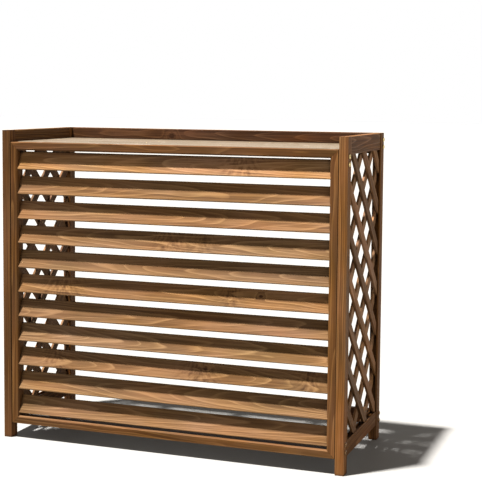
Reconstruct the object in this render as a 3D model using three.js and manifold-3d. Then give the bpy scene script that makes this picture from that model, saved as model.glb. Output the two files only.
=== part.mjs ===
// Louvred timber screen that stands round an outdoor air conditioner and carries a slatted shelf for plants.
// Two lattice side frames are joined in front by a louvre panel and behind by two rails; the shelf lies inside
// the rim that the side rails and the upper back rail make. Nothing on it moves.
// Millimetres. +X is to the right seen from the front, +Y towards the back, +Z up. The origin is on the ground
// under the middle of the screen.

import * as THREE from "three";
import { mergeVertices } from "three/addons/utils/BufferGeometryUtils.js";
import Module from "manifold-3d";

// Whole screen, measured over the posts
const WIDTH = 1030;
const DEPTH = 400;
const HEIGHT = 900;

// Fits
const SEAT_GAP = 0.3; // between a piece and what carries it
const OVERRUN = 5; // how far a cutter passes the face that it opens

// Posts
const POST_WIDTH = 25; // seen from the front
const POST_DEPTH = 34; // seen from the side
const FOOT_HEIGHT = 43; // from the ground to the lowest rail
const POST_ARRIS = 2;

// Side frames: rails tenoned into the posts
const SIDE_RAIL_THICKNESS = 20;
const TOP_SIDE_RAIL_HEIGHT = 48;
const BOTTOM_SIDE_RAIL_HEIGHT = 42;
const RAIL_ARRIS = 1.5;
const TENON_THICKNESS = 10;
const TENON_LENGTH = 12;
const TENON_SHOULDER = 9; // between the tenon and the edge that holds the lattice
const FOOT_SHOULDER = 6; // under the lower rail's tenon

// Lattice: two layers of slats at 45 degrees, stapled together where they cross and let into a groove
const LATTICE_SLAT_WIDTH = 26;
const LATTICE_SLAT_THICKNESS = 7;
const LATTICE_ARRIS = 0.8;
const LATTICE_PITCH = 84; // between centre lines, square to the slats
const LATTICE_START = 72; // from the lower corner to the first centre line, square to the slats
const LATTICE_BITE = 0.3; // how far the staples press the layers into each other
const GROOVE_DEPTH = 7;

// Louvre panel: a mitred frame between the front posts
const PANEL_RECESS = 2; // its face behind the posts' faces
const PANEL_DROP = 1; // its top edge below the shelf
const PANEL_SIDE_GAP = 1.2; // to each post
const PANEL_MEMBER = 23; // face width of its rails and stiles
const PANEL_THICKNESS = 30;
const PANEL_CHAMFER = 4; // along the inner front edge
const PANEL_ARRIS = 1.5;
const MITRE_GAP = 0.3;

// Louvre slats, housed in the stiles with their lower edges forward
const LOUVRE_COUNT = 11;
const LOUVRE_WIDTH = 55;
const LOUVRE_THICKNESS = 7;
const LOUVRE_ARRIS = 2.4;
const LOUVRE_TILT = 22; // degrees from upright
const LOUVRE_TOP_GAP = 4; // from the highest slat to the panel's top rail
const LOUVRE_BOTTOM_GAP = 7; // from the lowest slat to the panel's bottom rail
const HOUSING_DEPTH = 6;

// Back rails, butted between the back posts
const BACK_RAIL_THICKNESS = 18;
const TOP_BACK_RAIL_HEIGHT = 60;
const BOTTOM_BACK_RAIL_HEIGHT = 42;

// Shelf: planks on two ledgers, tied together by battens below
const RIM_HEIGHT = 33; // how far the rim stands above the planks
const PLANK_COUNT = 4;
const PLANK_THICKNESS = 12;
const PLANK_GAP = 14;
const PLANK_END_GAP = 1.5; // to the line of the posts
const PLANK_EDGE_GAP = 1.5; // to the posts in front and the back rail behind
const PLANK_ARRIS = 1.5;
const LEDGER_DEPTH = 20;
const LEDGER_HEIGHT = 9;
const BATTEN_COUNT = 4;
const BATTEN_WIDTH = 40;
const BATTEN_THICKNESS = 11;
const BATTEN_INSET = 110; // from a post to the middle of the nearest batten
const BATTEN_END_GAP = 1;
const STRIP_ARRIS = 1;

// Screws
const POST_SCREW = { shank: 2.5, head: 6.6, rise: 3.4, point: 6 };
const LEDGER_SCREW = { shank: 1.7, head: 3.6, rise: 1.8, point: 4 };
const BACK_SCREW_LENGTH = 56;
const PANEL_SCREW_LENGTH = 39;
const LEDGER_SCREW_LENGTH = 30;
const SCREW_SPACING = 21; // between the two screws of a pair, one above the other
const PANEL_PAIR_INSET = 28; // from the panel's end to the middle of the pair
const PANEL_SCREW_INSET = 12; // behind the panel's face
const LEDGER_SCREW_INSET = 50; // from the ledger's end
const DRILL_PAST_TIP = 0.6;
const HEAD_RIM_SHARE = 0.25; // straight edge of a head, of its rise
const RECESS_LENGTH_SHARE = 1.15; // cross recess, of the head's radius
const RECESS_WIDTH_SHARE = 0.22;
const RECESS_DEPTH_SHARE = 0.7; // of the head's rise
const SCREW_SIDES = 12;
const DRILL_SIDES = 12;

// Places that several pieces share
const shelfTop = HEIGHT - RIM_HEIGHT;
const plankUnderside = shelfTop - PLANK_THICKNESS;
const sideSpan = DEPTH - 2 * POST_DEPTH;
const postSpan = WIDTH - 2 * POST_WIDTH;
const plankLength = postSpan - 2 * PLANK_END_GAP;
const ledgerMiddle = plankUnderside - SEAT_GAP - LEDGER_HEIGHT / 2;
const latticeLow = FOOT_HEIGHT + BOTTOM_SIDE_RAIL_HEIGHT;
const latticeHigh = HEIGHT - TOP_SIDE_RAIL_HEIGHT;
const latticeThickness = 2 * LATTICE_SLAT_THICKNESS - LATTICE_BITE;
const panelWidth = postSpan - 2 * PANEL_SIDE_GAP;
const panelHeight = shelfTop - PANEL_DROP - FOOT_HEIGHT;
const panelFront = -DEPTH / 2 + PANEL_RECESS;
const panelBack = panelFront + PANEL_THICKNESS;
const backRailFace = DEPTH / 2 - BACK_RAIL_THICKNESS;
const backRailMiddle = DEPTH / 2 - BACK_RAIL_THICKNESS / 2;

const wasm = await Module();
wasm.setup();

// A closed three.js geometry as a solid that can be cut and joined.
function toSolid(geometry) {
  const bare = geometry.clone();
  bare.deleteAttribute("normal");
  bare.deleteAttribute("uv");
  const merged = mergeVertices(bare);
  const mesh = new wasm.Mesh({
    numProp: 3,
    vertProperties: new Float32Array(merged.getAttribute("position").array),
    triVerts: new Uint32Array(merged.getIndex().array),
  });
  return new wasm.Manifold(mesh);
}

// A solid as a three.js geometry with flat faces.
function toGeometry(solid) {
  const mesh = solid.getMesh();
  const geometry = new THREE.BufferGeometry();
  geometry.setAttribute("position", new THREE.BufferAttribute(mesh.vertProperties, 3));
  geometry.setIndex(new THREE.BufferAttribute(mesh.triVerts, 1));
  const flat = geometry.toNonIndexed();
  flat.computeVertexNormals();
  return flat;
}

function cutAll(blank, cutters) {
  return cutters.reduce((rest, cutter) => rest.subtract(cutter), blank);
}

// Section of planed timber, centred on the origin, with its four corners eased. They run anticlockwise from the
// lower right one. One step makes a flat chamfer, more steps follow the arc.
function easedSection(width, height, easings) {
  const quarter = Math.PI / 2;
  const points = easings.flatMap(({ radius, steps }, corner) => {
    const towardsX = corner < 2 ? 1 : -1;
    const towardsY = corner === 1 || corner === 2 ? 1 : -1;
    const middleX = towardsX * (width / 2 - radius);
    const middleY = towardsY * (height / 2 - radius);
    return Array.from({ length: steps + 1 }, (_, step) => {
      const angle = (corner - 1 + step / steps) * quarter;
      return new THREE.Vector2(middleX + radius * Math.cos(angle), middleY + radius * Math.sin(angle));
    });
  });
  return new THREE.Shape(points);
}

function softCorners(radius, steps = 2) {
  return Array.from({ length: 4 }, () => ({ radius, steps }));
}

// How a section turns to run along each axis: its own x and y lie along Y and Z, X and Z, or X and Y.
const axisX = new THREE.Vector3(1, 0, 0);
const axisY = new THREE.Vector3(0, 1, 0);
const axisZ = new THREE.Vector3(0, 0, 1);
const LENGTHWISE = {
  x: new THREE.Matrix4().makeBasis(axisY, axisZ, axisX),
  y: new THREE.Matrix4().makeBasis(axisX, axisZ, axisY.clone().negate()),
  z: new THREE.Matrix4(),
};

// A straight length of one section along an axis, centred on the origin.
function board(section, length, axis) {
  const geometry = new THREE.ExtrudeGeometry(section, { depth: length, bevelEnabled: false });
  geometry.translate(0, 0, -length / 2);
  return geometry.applyMatrix4(LENGTHWISE[axis]);
}

// A plain block between two planes on each axis, as a tenon or as a cutter.
function block([x0, x1], [y0, y1], [z0, z1]) {
  const geometry = new THREE.BoxGeometry(x1 - x0, y1 - y0, z1 - z0);
  geometry.translate((x0 + x1) / 2, (y0 + y1) / 2, (z0 + z1) / 2);
  return toSolid(geometry);
}

// A drilled hole's cutter along X or Y, from one place on that axis to another.
function drill(axis, radius, from, to) {
  const length = Math.abs(to - from);
  const geometry = new THREE.CylinderGeometry(radius, radius, length, DRILL_SIDES);
  const middle = (from + to) / 2;
  if (axis === "x") {
    geometry.rotateZ(Math.PI / 2).translate(middle, 0, 0);
  } else {
    geometry.translate(0, middle, 0);
  }
  return toSolid(geometry);
}

// Stained softwood; the tone is its colour in the light.
function timber(tone) {
  return new THREE.MeshStandardMaterial({ color: tone, roughness: 0.62, metalness: 0 });
}

const postWood = timber(0x8f6338);
const railWood = timber(0x86592f);
const latticeWood = timber(0x8a6440);
const panelWood = timber(0x96683a);
const louvreWood = timber(0xb07c4d);
const shelfWood = timber(0xa07a55);
const hiddenWood = timber(0x7a5433);
const zinc = new THREE.MeshStandardMaterial({ color: 0xcfc08a, roughness: 0.32, metalness: 1 });

function piece(name, geometry, material, position = [0, 0, 0]) {
  const mesh = new THREE.Mesh(geometry, material);
  mesh.name = name;
  mesh.position.set(...position);
  return mesh;
}

// Heights of the two screws of a pair about its middle.
function pairHeights(middle) {
  return { upper: middle + SCREW_SPACING / 2, lower: middle - SCREW_SPACING / 2 };
}

const panelPairMiddles = {
  top: FOOT_HEIGHT + panelHeight - PANEL_PAIR_INSET,
  bottom: FOOT_HEIGHT + PANEL_PAIR_INSET,
};
const backPairMiddles = {
  top: HEIGHT - TOP_BACK_RAIL_HEIGHT / 2,
  bottom: FOOT_HEIGHT + BOTTOM_BACK_RAIL_HEIGHT / 2,
};
const panelScrewDepth = panelFront + PANEL_SCREW_INSET;
const postDrill = POST_SCREW.shank + SEAT_GAP;
const ledgerDrill = LEDGER_SCREW.shank + SEAT_GAP;

// Post. Its face towards the other post of the frame has a mortise open at the top for the upper rail's tenon,
// a closed mortise for the lower one, and between them the stopped groove for the lattice. Two pairs of holes
// run through it sideways for the screws of the panel or the back rails.
function postSolid(towards, pairMiddles, screwFromMiddle) {
  const section = easedSection(POST_WIDTH, POST_DEPTH, softCorners(POST_ARRIS));
  const blank = toSolid(board(section, HEIGHT, "z")).translate([0, 0, HEIGHT / 2]);
  const face = (POST_DEPTH / 2) * towards;
  const inFrom = (depth) => {
    const ends = [face + OVERRUN * towards, face - depth * towards];
    return ends.sort((a, b) => a - b);
  };
  const across = (thickness) => [-thickness / 2 - SEAT_GAP, thickness / 2 + SEAT_GAP];
  const mortise = (low, high) => block(across(TENON_THICKNESS), inFrom(TENON_LENGTH + SEAT_GAP), [low, high]);
  const upperMortise = mortise(latticeHigh + TENON_SHOULDER - SEAT_GAP, HEIGHT + OVERRUN);
  const lowerMortise = mortise(
    FOOT_HEIGHT + FOOT_SHOULDER - SEAT_GAP,
    latticeLow - TENON_SHOULDER + SEAT_GAP,
  );
  const groove = block(
    across(latticeThickness),
    inFrom(GROOVE_DEPTH),
    [latticeLow - GROOVE_DEPTH, latticeHigh + GROOVE_DEPTH],
  );
  const half = POST_WIDTH / 2 + OVERRUN;
  const holes = Object.values(pairMiddles).flatMap((middle) =>
    Object.values(pairHeights(middle)).map((height) =>
      drill("x", postDrill, -half, half).translate([0, screwFromMiddle, height]),
    ),
  );
  return cutAll(blank, [upperMortise, lowerMortise, groove, ...holes]);
}

// Rail of a side frame, with a tenon at each end between the given heights, and the lattice groove along the
// edge that faces the lattice.
function sideRailSolid(height, tenonLow, tenonHigh, grooveSide) {
  const section = easedSection(SIDE_RAIL_THICKNESS, height, softCorners(RAIL_ARRIS));
  const body = toSolid(board(section, sideSpan - 2 * SEAT_GAP, "y"));
  const reach = sideSpan / 2 + TENON_LENGTH;
  const half = TENON_THICKNESS / 2;
  const tenons = block([-half, half], [-reach, reach], [tenonLow, tenonHigh]);
  const edge = (height / 2) * grooveSide;
  const grooveHalf = latticeThickness / 2 + SEAT_GAP;
  const heights = [edge - GROOVE_DEPTH * grooveSide, edge + OVERRUN * grooveSide].sort((a, b) => a - b);
  const groove = block([-grooveHalf, grooveHalf], [-reach - OVERRUN, reach + OVERRUN], heights);
  return body.add(tenons).subtract(groove);
}

// Lattice of one side frame: an outer layer that falls towards the back and an inner one that falls towards the
// front, cut to the rectangle that the grooves leave. Outward is 1 on the right and -1 on the left.
function latticeSolid(outward) {
  const width = sideSpan;
  const height = latticeHigh - latticeLow;
  const acrossCorner = (width + height) / Math.SQRT2;
  const lastLine = acrossCorner - LATTICE_SLAT_WIDTH;
  const slatCount = Math.floor((lastLine - LATTICE_START) / LATTICE_PITCH) + 1;
  const section = easedSection(LATTICE_SLAT_THICKNESS, LATTICE_SLAT_WIDTH, softCorners(LATTICE_ARRIS, 1));
  const slat = toSolid(board(section, width + height, "y"));
  const layerOffset = (latticeThickness - LATTICE_SLAT_THICKNESS) / 2;
  const layer = (x, fall) =>
    Array.from({ length: slatCount }, (_, index) => {
      const along = (LATTICE_START + index * LATTICE_PITCH) * Math.SQRT2;
      const middleZ = along / 2 - height / 2;
      const middleY = (along / 2 - width / 2) * fall;
      return slat.rotate([-45 * fall, 0, 0]).translate([x, middleY, middleZ]);
    });
  const slats = [...layer(layerOffset * outward, 1), ...layer(-layerOffset * outward, -1)];
  const halfWidth = width / 2 + GROOVE_DEPTH - SEAT_GAP;
  const halfHeight = height / 2 + GROOVE_DEPTH - SEAT_GAP;
  const frame = block(
    [-latticeThickness, latticeThickness],
    [-halfWidth, halfWidth],
    [-halfHeight, halfHeight],
  );
  return slats.reduce((joined, next) => joined.add(next)).intersect(frame);
}

// One side frame on its own middle plane.
function sideFrame(side, outward) {
  const group = new THREE.Group();
  const postY = (DEPTH - POST_DEPTH) / 2;
  const frontScrew = panelScrewDepth + postY;
  const backScrew = backRailMiddle - postY;
  const frontPost = postSolid(1, panelPairMiddles, frontScrew);
  const backPost = postSolid(-1, backPairMiddles, backScrew);
  group.add(piece(`${side}_front_post`, toGeometry(frontPost), postWood, [0, -postY, 0]));
  group.add(piece(`${side}_back_post`, toGeometry(backPost), postWood, [0, postY, 0]));

  const topHalf = TOP_SIDE_RAIL_HEIGHT / 2;
  const topRail = sideRailSolid(TOP_SIDE_RAIL_HEIGHT, TENON_SHOULDER - topHalf, topHalf, -1);
  group.add(piece(`${side}_top_rail`, toGeometry(topRail), railWood, [0, 0, HEIGHT - topHalf]));

  const bottomHalf = BOTTOM_SIDE_RAIL_HEIGHT / 2;
  const bottomRail = sideRailSolid(
    BOTTOM_SIDE_RAIL_HEIGHT,
    FOOT_SHOULDER - bottomHalf,
    bottomHalf - TENON_SHOULDER,
    1,
  );
  group.add(piece(`${side}_bottom_rail`, toGeometry(bottomRail), railWood, [0, 0, FOOT_HEIGHT + bottomHalf]));

  const latticeMiddle = (latticeLow + latticeHigh) / 2;
  group.add(piece(`${side}_lattice`, toGeometry(latticeSolid(outward)), latticeWood, [0, 0, latticeMiddle]));
  group.position.x = ((WIDTH - POST_WIDTH) / 2) * outward;
  return group;
}

// Member of the panel's frame, made as the top rail and then turned about Y: chamfered along the inner front
// edge and mitred at both ends.
function panelMember(length, turn) {
  const easings = softCorners(PANEL_ARRIS);
  easings[3] = { radius: PANEL_CHAMFER, steps: 1 };
  const blank = toSolid(board(easedSection(PANEL_THICKNESS, PANEL_MEMBER, easings), length, "x"));
  const setBack = MITRE_GAP / Math.SQRT2;
  const edge = PANEL_MEMBER / 2 + OVERRUN;
  const outer = length / 2 - setBack + OVERRUN;
  const inner = outer - 2 * edge;
  const outline = new THREE.Shape([
    new THREE.Vector2(-outer, edge),
    new THREE.Vector2(-inner, -edge),
    new THREE.Vector2(inner, -edge),
    new THREE.Vector2(outer, edge),
  ]);
  const mitres = toSolid(board(outline, PANEL_THICKNESS + 2 * OVERRUN, "y"));
  return blank.intersect(mitres).rotate([0, turn, 0]);
}

// Louvre slat or, with a clearance, the cutter for its housing.
function louvreGeometry(length, clearance) {
  const section = easedSection(
    LOUVRE_THICKNESS + 2 * clearance,
    LOUVRE_WIDTH + 2 * clearance,
    softCorners(LOUVRE_ARRIS + clearance, 3),
  );
  return board(section, length, "x");
}

// Heights of the slats' middles above the panel's lower edge, from the lowest up.
function louvreHeights() {
  const tilt = THREE.MathUtils.degToRad(LOUVRE_TILT);
  const halfWidth = (LOUVRE_WIDTH / 2 - LOUVRE_ARRIS) * Math.cos(tilt);
  const halfThickness = (LOUVRE_THICKNESS / 2 - LOUVRE_ARRIS) * Math.sin(tilt);
  const halfRise = halfWidth + halfThickness + LOUVRE_ARRIS;
  const lowest = PANEL_MEMBER + LOUVRE_BOTTOM_GAP + halfRise;
  const highest = panelHeight - PANEL_MEMBER - LOUVRE_TOP_GAP - halfRise;
  const step = (highest - lowest) / (LOUVRE_COUNT - 1);
  return Array.from({ length: LOUVRE_COUNT }, (_, index) => lowest + index * step);
}

// Stile on one side, with a tilted housing for each slat and holes for its screws. Outward is 1 on the right.
function stileSolid(outward, heights) {
  const stile = panelMember(panelHeight, 90 * outward);
  const outerFace = PANEL_MEMBER / 2;
  const drillEnd = outerFace + PANEL_SIDE_GAP + POST_WIDTH - PANEL_SCREW_LENGTH - DRILL_PAST_TIP;
  const housingLength = HOUSING_DEPTH + OVERRUN;
  const cutter = toSolid(louvreGeometry(housingLength, SEAT_GAP)).rotate([-LOUVRE_TILT, 0, 0]);
  const housingX = HOUSING_DEPTH - outerFace - housingLength / 2;
  const housings = heights.map((height) =>
    cutter.translate([housingX * outward, 0, height - panelHeight / 2]),
  );
  const holeY = PANEL_SCREW_INSET - PANEL_THICKNESS / 2;
  const holes = Object.values(panelPairMiddles).flatMap((middle) =>
    Object.values(pairHeights(middle)).map((height) => {
      const hole = drill("x", postDrill, drillEnd * outward, (outerFace + OVERRUN) * outward);
      return hole.translate([0, holeY, height - FOOT_HEIGHT - panelHeight / 2]);
    }),
  );
  return cutAll(stile, [...housings, ...holes]);
}

function ledgerScrewPlaces() {
  const reach = plankLength / 2 - LEDGER_SCREW_INSET;
  return { left: -reach, middle: 0, right: reach };
}

// Holes for the ledger screws in the piece that the ledger lies against. Inward points from that piece's face
// towards the ledger.
function ledgerHoles(face, inward, height) {
  const depth = LEDGER_SCREW_LENGTH - LEDGER_DEPTH + DRILL_PAST_TIP;
  return Object.values(ledgerScrewPlaces()).map((x) => {
    const hole = drill("y", ledgerDrill, face - depth * inward, face + OVERRUN * inward);
    return hole.translate([x, 0, height]);
  });
}

// Louvre panel on its own middle plane, its lower edge at zero height.
function louvrePanel() {
  const group = new THREE.Group();
  const heights = louvreHeights();
  const memberMiddle = PANEL_MEMBER / 2;
  const railHeight = panelHeight - memberMiddle;
  const ledgerHeight = ledgerMiddle - FOOT_HEIGHT - railHeight;
  const topRail = cutAll(panelMember(panelWidth, 0), ledgerHoles(PANEL_THICKNESS / 2, 1, ledgerHeight));
  const bottomRail = panelMember(panelWidth, 180);
  group.add(piece("panel_top_rail", toGeometry(topRail), panelWood, [0, 0, railHeight]));
  group.add(piece("panel_bottom_rail", toGeometry(bottomRail), panelWood, [0, 0, memberMiddle]));

  const stileX = panelWidth / 2 - memberMiddle;
  for (const [side, outward] of [["left", -1], ["right", 1]]) {
    const stile = toGeometry(stileSolid(outward, heights));
    group.add(piece(`panel_${side}_stile`, stile, panelWood, [stileX * outward, 0, panelHeight / 2]));
  }

  const slatLength = panelWidth - 2 * PANEL_MEMBER + 2 * (HOUSING_DEPTH - SEAT_GAP);
  [...heights].reverse().forEach((height, index) => {
    const number = String(index + 1).padStart(2, "0");
    const slat = piece(`louvre_slat_${number}`, louvreGeometry(slatLength, 0), louvreWood, [0, 0, height]);
    slat.rotation.x = -THREE.MathUtils.degToRad(LOUVRE_TILT);
    group.add(slat);
  });
  group.position.set(0, panelFront + PANEL_THICKNESS / 2, FOOT_HEIGHT);
  return group;
}

// Rail between the back posts, drilled at both ends for its pairs of screws.
function backRailSolid(height) {
  const length = postSpan - 2 * SEAT_GAP;
  const section = easedSection(BACK_RAIL_THICKNESS, height, softCorners(RAIL_ARRIS));
  const blank = toSolid(board(section, length, "x"));
  const end = postSpan / 2 + OVERRUN;
  const drillEnd = postSpan / 2 + POST_WIDTH - BACK_SCREW_LENGTH - DRILL_PAST_TIP;
  const holes = Object.values(pairHeights(0)).flatMap((z) =>
    [-1, 1].map((outward) => drill("x", postDrill, drillEnd * outward, end * outward).translate([0, 0, z])),
  );
  return cutAll(blank, holes);
}

function backRails() {
  const group = new THREE.Group();
  const ledgerHeight = ledgerMiddle - backPairMiddles.top;
  const topRail = cutAll(
    backRailSolid(TOP_BACK_RAIL_HEIGHT),
    ledgerHoles(-BACK_RAIL_THICKNESS / 2, -1, ledgerHeight),
  );
  const bottomRail = backRailSolid(BOTTOM_BACK_RAIL_HEIGHT);
  group.add(piece("back_top_rail", toGeometry(topRail), railWood, [0, 0, backPairMiddles.top]));
  group.add(piece("back_bottom_rail", toGeometry(bottomRail), railWood, [0, 0, backPairMiddles.bottom]));
  group.position.y = backRailMiddle;
  return group;
}

// Planks from front to back with open gaps between them.
function planks() {
  const group = new THREE.Group();
  const front = -DEPTH / 2 + POST_DEPTH + PLANK_EDGE_GAP;
  const back = backRailFace - PLANK_EDGE_GAP;
  const plankWidth = (back - front - (PLANK_COUNT - 1) * PLANK_GAP) / PLANK_COUNT;
  const section = easedSection(plankWidth, PLANK_THICKNESS, softCorners(PLANK_ARRIS));
  for (let index = 0; index < PLANK_COUNT; index += 1) {
    const y = front + plankWidth / 2 + index * (plankWidth + PLANK_GAP);
    const plank = board(section, plankLength, "x");
    group.add(piece(`shelf_plank_${index + 1}`, plank, shelfWood, [0, y, shelfTop - PLANK_THICKNESS / 2]));
  }
  return group;
}

// Strips that carry the first and the last plank, screwed to the panel's top rail and to the back rail.
function ledgers() {
  const group = new THREE.Group();
  const section = easedSection(LEDGER_DEPTH, LEDGER_HEIGHT, softCorners(STRIP_ARRIS, 1));
  const half = LEDGER_DEPTH / 2 + OVERRUN;
  const holes = Object.values(ledgerScrewPlaces()).map((x) =>
    drill("y", ledgerDrill, -half, half).translate([x, 0, 0]),
  );
  const ledger = toGeometry(cutAll(toSolid(board(section, plankLength, "x")), holes));
  const fromFace = LEDGER_DEPTH / 2 + SEAT_GAP;
  group.add(piece("front_ledger", ledger, hiddenWood, [0, panelBack + fromFace, ledgerMiddle]));
  group.add(piece("back_ledger", ledger.clone(), hiddenWood, [0, backRailFace - fromFace, ledgerMiddle]));
  return group;
}

// Battens under the planks, from ledger to ledger.
function battens() {
  const group = new THREE.Group();
  const front = panelBack + SEAT_GAP + LEDGER_DEPTH + BATTEN_END_GAP;
  const back = backRailFace - SEAT_GAP - LEDGER_DEPTH - BATTEN_END_GAP;
  const section = easedSection(BATTEN_WIDTH, BATTEN_THICKNESS, softCorners(STRIP_ARRIS, 1));
  const reach = postSpan / 2 - BATTEN_INSET;
  for (let index = 0; index < BATTEN_COUNT; index += 1) {
    const x = (2 * index / (BATTEN_COUNT - 1) - 1) * reach;
    const z = plankUnderside - SEAT_GAP - BATTEN_THICKNESS / 2;
    const batten = board(section, back - front, "y");
    group.add(piece(`shelf_batten_${index + 1}`, batten, hiddenWood, [x, (front + back) / 2, z]));
  }
  return group;
}

// Domed screw with a cross recess, its axis on Z and the underside of its head at zero.
function screwGeometry({ shank, head, rise, point }, length) {
  const rim = rise * HEAD_RIM_SHARE;
  const domeSteps = 4;
  const dome = Array.from({ length: domeSteps }, (_, step) => {
    const angle = ((step + 1) / domeSteps) * (Math.PI / 2);
    return new THREE.Vector2(head * Math.cos(angle), rim + (rise - rim) * Math.sin(angle));
  });
  dome[domeSteps - 1].x = 0;
  const profile = [
    new THREE.Vector2(0, -length),
    new THREE.Vector2(shank, point - length),
    new THREE.Vector2(shank, 0),
    new THREE.Vector2(head, 0),
    new THREE.Vector2(head, rim),
    ...dome,
  ];
  const body = toSolid(new THREE.LatheGeometry(profile, SCREW_SIDES).rotateX(Math.PI / 2));
  const arm = (head * RECESS_LENGTH_SHARE) / 2;
  const half = (head * RECESS_WIDTH_SHARE) / 2;
  const depths = [rise * (1 - RECESS_DEPTH_SHARE), rise + OVERRUN];
  const recess = block([-arm, arm], [-half, half], depths).add(block([-half, half], [-arm, arm], depths));
  return toGeometry(body.subtract(recess));
}

// The pairs of screws through the posts, in front into the stiles and behind into the back rails.
function postScrews() {
  const group = new THREE.Group();
  const rows = [
    { end: "front", length: PANEL_SCREW_LENGTH, y: panelScrewDepth, middles: panelPairMiddles },
    { end: "back", length: BACK_SCREW_LENGTH, y: backRailMiddle, middles: backPairMiddles },
  ];
  for (const { end, length, y, middles } of rows) {
    for (const [side, outward] of [["left", -1], ["right", 1]]) {
      for (const [level, middle] of Object.entries(middles)) {
        for (const [place, z] of Object.entries(pairHeights(middle))) {
          const x = (WIDTH / 2 + SEAT_GAP) * outward;
          const name = `${side}_${end}_${level}_screw_${place}`;
          const screw = piece(name, screwGeometry(POST_SCREW, length), zinc, [x, y, z]);
          screw.rotation.y = (Math.PI / 2) * outward;
          group.add(screw);
        }
      }
    }
  }
  return group;
}

function ledgerScrews() {
  const group = new THREE.Group();
  const rows = [
    { end: "front", y: panelBack + LEDGER_DEPTH + 2 * SEAT_GAP, turn: -Math.PI / 2 },
    { end: "back", y: backRailFace - LEDGER_DEPTH - 2 * SEAT_GAP, turn: Math.PI / 2 },
  ];
  for (const { end, y, turn } of rows) {
    for (const [place, x] of Object.entries(ledgerScrewPlaces())) {
      const name = `${end}_ledger_screw_${place}`;
      const screw = piece(name, screwGeometry(LEDGER_SCREW, LEDGER_SCREW_LENGTH), zinc, [x, y, ledgerMiddle]);
      screw.rotation.x = turn;
      group.add(screw);
    }
  }
  return group;
}

const screen = new THREE.Group();
screen.add(sideFrame("left", -1));
screen.add(sideFrame("right", 1));
screen.add(louvrePanel());
screen.add(backRails());
screen.add(planks());
screen.add(ledgers());
screen.add(battens());
screen.add(postScrews());
screen.add(ledgerScrews());

export default screen;
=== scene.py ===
"""Louvred timber screen for an outdoor air conditioner, dressed piece by piece in the order it is built."""

import math
import random

import bpy
import numpy as np
from mathutils import Matrix, Vector


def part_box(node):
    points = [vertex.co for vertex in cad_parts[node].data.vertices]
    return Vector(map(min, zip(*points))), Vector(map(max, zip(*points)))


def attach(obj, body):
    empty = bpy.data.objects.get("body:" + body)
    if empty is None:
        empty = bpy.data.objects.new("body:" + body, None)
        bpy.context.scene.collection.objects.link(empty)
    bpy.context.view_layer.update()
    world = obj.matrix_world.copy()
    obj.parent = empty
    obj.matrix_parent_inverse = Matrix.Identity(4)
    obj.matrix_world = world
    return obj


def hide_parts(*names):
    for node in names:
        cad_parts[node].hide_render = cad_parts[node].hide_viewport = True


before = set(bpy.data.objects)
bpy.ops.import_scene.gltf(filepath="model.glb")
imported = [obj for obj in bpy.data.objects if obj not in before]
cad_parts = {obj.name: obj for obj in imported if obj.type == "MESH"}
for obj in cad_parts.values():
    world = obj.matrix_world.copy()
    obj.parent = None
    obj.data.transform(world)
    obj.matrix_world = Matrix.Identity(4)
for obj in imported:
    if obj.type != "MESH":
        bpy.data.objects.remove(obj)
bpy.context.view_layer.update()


# Posts. Four lengths of planed pine, 25 by 34 mm, stained brown and sanded at the arrises. They stand on their
# end grain, take the side rails' tenons, and are screwed to the louvre panel and the back rails.


def node(tree, kind, inputs=(), **settings):
    """A shader node with its settings. Each input is given as a value, or as a socket to link."""
    made = tree.nodes.new(kind)
    for name, value in settings.items():
        setattr(made, name, value)
    for name, value in dict(inputs).items():
        if isinstance(value, bpy.types.NodeSocket):
            tree.links.new(value, made.inputs[name])
        else:
            made.inputs[name].default_value = value
    return made


def calc(tree, operation, *values, clamp=False):
    made = node(tree, "ShaderNodeMath", enumerate(values), operation=operation, use_clamp=clamp)
    return made.outputs[0]


def vector_calc(tree, operation, *values):
    made = node(tree, "ShaderNodeVectorMath", enumerate(values), operation=operation)
    return made.outputs["Value" if operation == "LENGTH" else "Vector"]


def noise(tree, vector, detail=2.0, roughness=0.5, scale=1.0):
    inputs = {"Vector": vector, "Scale": scale, "Detail": detail, "Roughness": roughness}
    return node(tree, "ShaderNodeTexNoise", inputs)


def stretched(tree, vector, along, across, shift):
    """The board's coordinates, scaled along and across the grain, and moved to its own place in the noise."""
    scaled = vector_calc(tree, "MULTIPLY", vector, (along, across, across))
    return vector_calc(tree, "ADD", scaled, shift)


def swing(tree, value, amount):
    """A value that lies evenly about a half, turned into one that lies about zero."""
    return calc(tree, "MULTIPLY", calc(tree, "SUBTRACT", value, 0.5), amount)


def step_between(tree, value, low, high, start=0.0, end=1.0):
    inputs = {"Value": value, "From Min": low, "From Max": high, "To Min": start, "To Max": end}
    made = node(tree, "ShaderNodeMapRange", inputs, interpolation_type="SMOOTHSTEP")
    return made.outputs["Result"]


def ramp(tree, share, stops):
    """A run of colours, from stops of (share, colour)."""
    made = node(tree, "ShaderNodeValToRGB", {"Fac": share})
    elements = made.color_ramp.elements
    while len(elements) < len(stops):
        elements.new(0.5)
    for element, (position, colour) in zip(elements, stops):
        element.position = position
        element.color = (*colour, 1.0)
    return made.outputs["Color"]


def mix(tree, share, under, over, how="MIX"):
    """Two colours mixed. A Mix node's values are its inputs 2 and 3 for numbers, 4 and 5 for vectors, and 6 and
    7 for colours."""
    inputs = {0: share, 6: under, 7: over}
    return node(tree, "ShaderNodeMix", inputs, data_type="RGBA", blend_type=how).outputs[2]


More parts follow.
